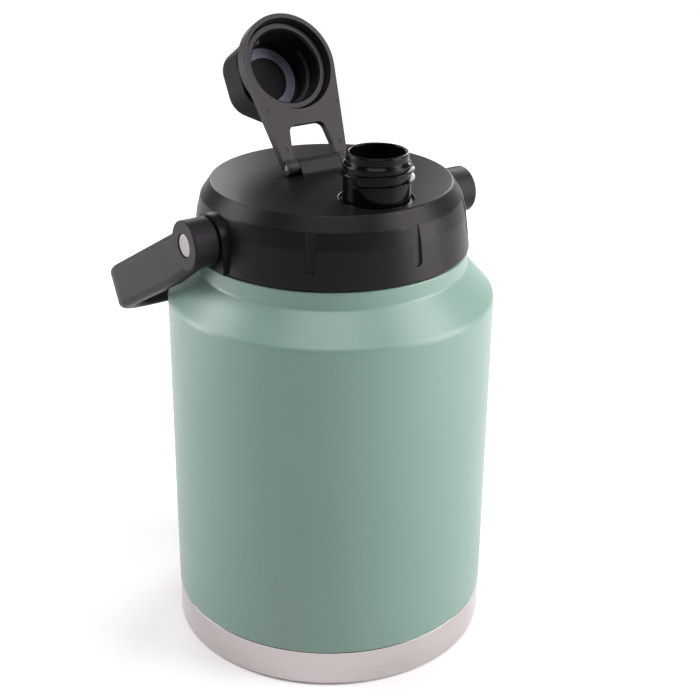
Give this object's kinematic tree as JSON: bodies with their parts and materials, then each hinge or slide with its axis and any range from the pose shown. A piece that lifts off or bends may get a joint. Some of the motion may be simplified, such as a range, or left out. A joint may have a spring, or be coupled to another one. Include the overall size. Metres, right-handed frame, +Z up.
{
  "type": "insulated water jug",
  "caption": "Large vacuum-insulated steel water jug with a screw lid, drinking spout, tethered flip cap and a swinging bail handle.",
  "frame": {"origin": "centre of the base, on the surface the jug stands on", "axes": "+Z up along the jug's axis; +X along the handle's pivot axis; the spout is towards -Y and the flip cap's hinge towards +Y"},
  "size_m": [0.166, 0.1861, 0.3153],
  "materials": {
    "coat": "sage green powder coat, fine satin texture",
    "bare_steel": "fine horizontal brushing",
    "liner_steel": "satin, electropolished",
    "pin_steel": "turned and polished",
    "getter_metal": "dull",
    "sealing_resin": "smooth bead",
    "black_plastic": "fine moulded grain",
    "liner_plastic": "smooth moulded",
    "gloss_black": "polished mould",
    "seal_silicone": "matt silicone",
    "gasket_silicone": "matt silicone",
    "foam": "expanded foam",
    "nylon": "natural nylon"
  },
  "bodies": {
    "body": {"outer_shell": "coat", "base_cup": "bare_steel", "base_disc": "bare_steel", "vacuum_seal": "sealing_resin", "inner_liner": "liner_steel", "vacuum_getter": "getter_metal"},
    "gasket": {"lid_gasket": "gasket_silicone"},
    "lid": {"lid_cover": "black_plastic", "lid_liner": "liner_plastic", "lid_foam": "foam", "pour_spout": "gloss_black", "spout_oring": "gasket_silicone", "hinge_block": "black_plastic", "hinge_pin": "pin_steel", "hinge_screws": "pin_steel", "handle_rivets": "pin_steel", "handle_washers": "nylon"},
    "strap": {"cap_strap": "black_plastic"},
    "seal": {"cap_seal": "seal_silicone"},
    "cap": {"cap_socket": "gloss_black", "cap_knob": "black_plastic"},
    "handle": {"bail_handle": "black_plastic"}
  },
  "joints": [
    {"name": "lid_lift", "type": "slide", "parent": "body", "child": "gasket", "axis": [0, 0, 1], "range_m": [0, 0.03001]},
    {"name": "lid_turn", "type": "hinge", "parent": "gasket", "child": "lid", "pos_m": [0, 0, 0.22], "axis": [0, 0, 1], "range_deg": [0, 900]},
    {"name": "strap_flip", "type": "hinge", "parent": "lid", "child": "strap", "pos_m": [0, 0.0133, 0.2479], "axis": [1, 0, 0], "range_deg": [0, 119.6]},
    {"name": "cap_lift", "type": "slide", "parent": "strap", "child": "seal", "axis": [0, -0.8695, 0.4939], "range_m": [0, 0.00701]},
    {"name": "cap_turn", "type": "hinge", "parent": "seal", "child": "cap", "pos_m": [0, 0.03874, 0.29268], "axis": [0, -0.8695, 0.4939], "range_deg": [0, 504]},
    {"name": "handle_swing", "type": "hinge", "parent": "lid", "child": "handle", "pos_m": [0, 0, 0.2242], "axis": [1, 0, 0], "range_deg": [0, 240]}
  ],
  "couplings": [
    {"joint": "lid_lift", "follows": "lid_turn", "m_per_rad": 0.0019099},
    {"joint": "cap_lift", "follows": "cap_turn", "m_per_rad": 0.00079577}
  ]
}
